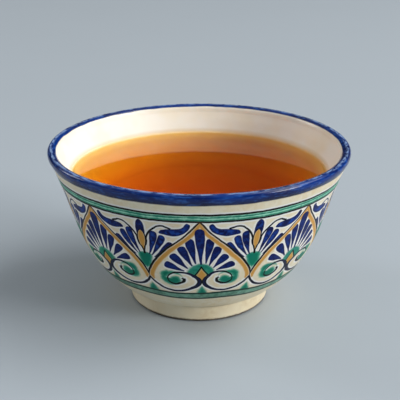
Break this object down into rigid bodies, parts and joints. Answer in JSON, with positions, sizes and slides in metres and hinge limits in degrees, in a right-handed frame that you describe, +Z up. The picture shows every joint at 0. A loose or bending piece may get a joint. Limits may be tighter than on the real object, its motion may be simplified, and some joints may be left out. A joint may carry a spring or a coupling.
{
  "type": "tea bowl filled with tea",
  "caption": "Footed handle-less ceramic tea bowl with a flared wall and a rounded lip, filled with clear brown tea.",
  "frame": {"origin": "middle of the foot ring's base, on the surface that the bowl stands on", "axes": "+Z up along the bowl's axis of revolution; -Y towards the viewer of the reference view"},
  "size_m": [0.1196, 0.1196, 0.0653],
  "materials": {
    "glazed_ceramic": "cream tin glaze painted in cobalt, green and ochre, glossy with a fine unevenness",
    "tea": "clear reddish-brown black tea with a still surface"
  },
  "bodies": {
    "root": {"bowl": "glazed_ceramic", "tea": "tea"}
  },
  "joints": []
}
